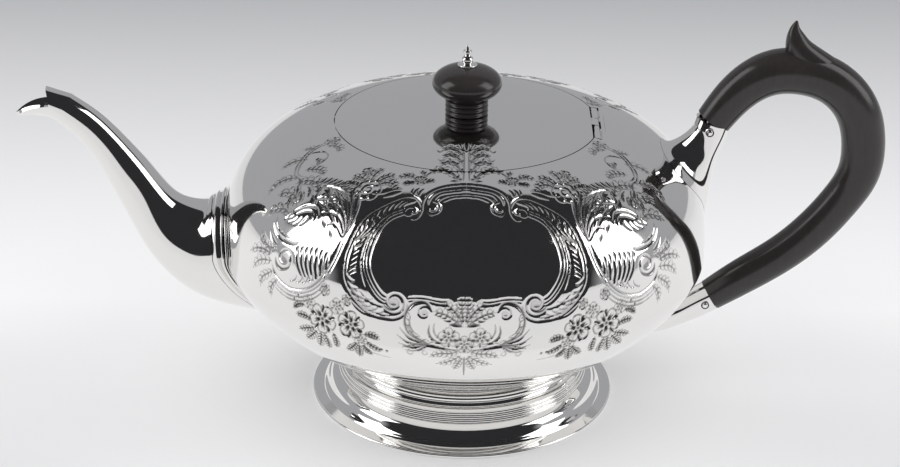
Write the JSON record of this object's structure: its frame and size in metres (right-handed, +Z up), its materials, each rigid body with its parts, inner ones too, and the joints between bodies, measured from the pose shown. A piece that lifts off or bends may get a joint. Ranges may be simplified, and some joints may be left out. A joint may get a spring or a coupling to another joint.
{
  "type": "teapot",
  "caption": "Compressed round silver teapot with engraved body, swan-neck spout, flush hinged lid with wooden finial and wooden scroll handle.",
  "frame": {"origin": "on the axis of the body, in the plane that the foot stands on", "axes": "+Z up along the axis of the body, +X towards the handle, -X towards the spout, +Y away from a viewer who has the spout on the left"},
  "size_m": [0.2776, 0.156, 0.1302],
  "materials": {
    "silver": "mirror polished silver",
    "ebonised_wood": "black stain with a satin wax polish"
  },
  "bodies": {
    "pot": {"body_shoulder": "silver", "body_bowl": "silver", "mouth_ring": "silver", "foot_shell": "silver", "foot_rim_wire": "silver", "foot_bead_wire": "silver", "spout_shell": "silver", "spout_collar": "silver", "spout_root": "silver", "upper_socket": "silver", "lower_socket": "silver", "handle_grip": "ebonised_wood", "upper_pin": "silver", "lower_pin": "silver", "body_hinge": "silver", "hinge_pin": "silver"},
    "lid": {"lid_shell": "silver", "lid_bezel": "silver", "lid_hinge_leaf": "silver", "finial_knob": "ebonised_wood", "finial_cap": "silver", "finial_stud": "silver", "finial_washer": "silver", "finial_nut": "silver"}
  },
  "joints": [
    {"name": "lid_hinge", "type": "hinge", "parent": "pot", "child": "lid", "pos_m": [0.0412, 0, 0.0941], "axis": [0, 1, 0], "range_deg": [0, 95]}
  ]
}
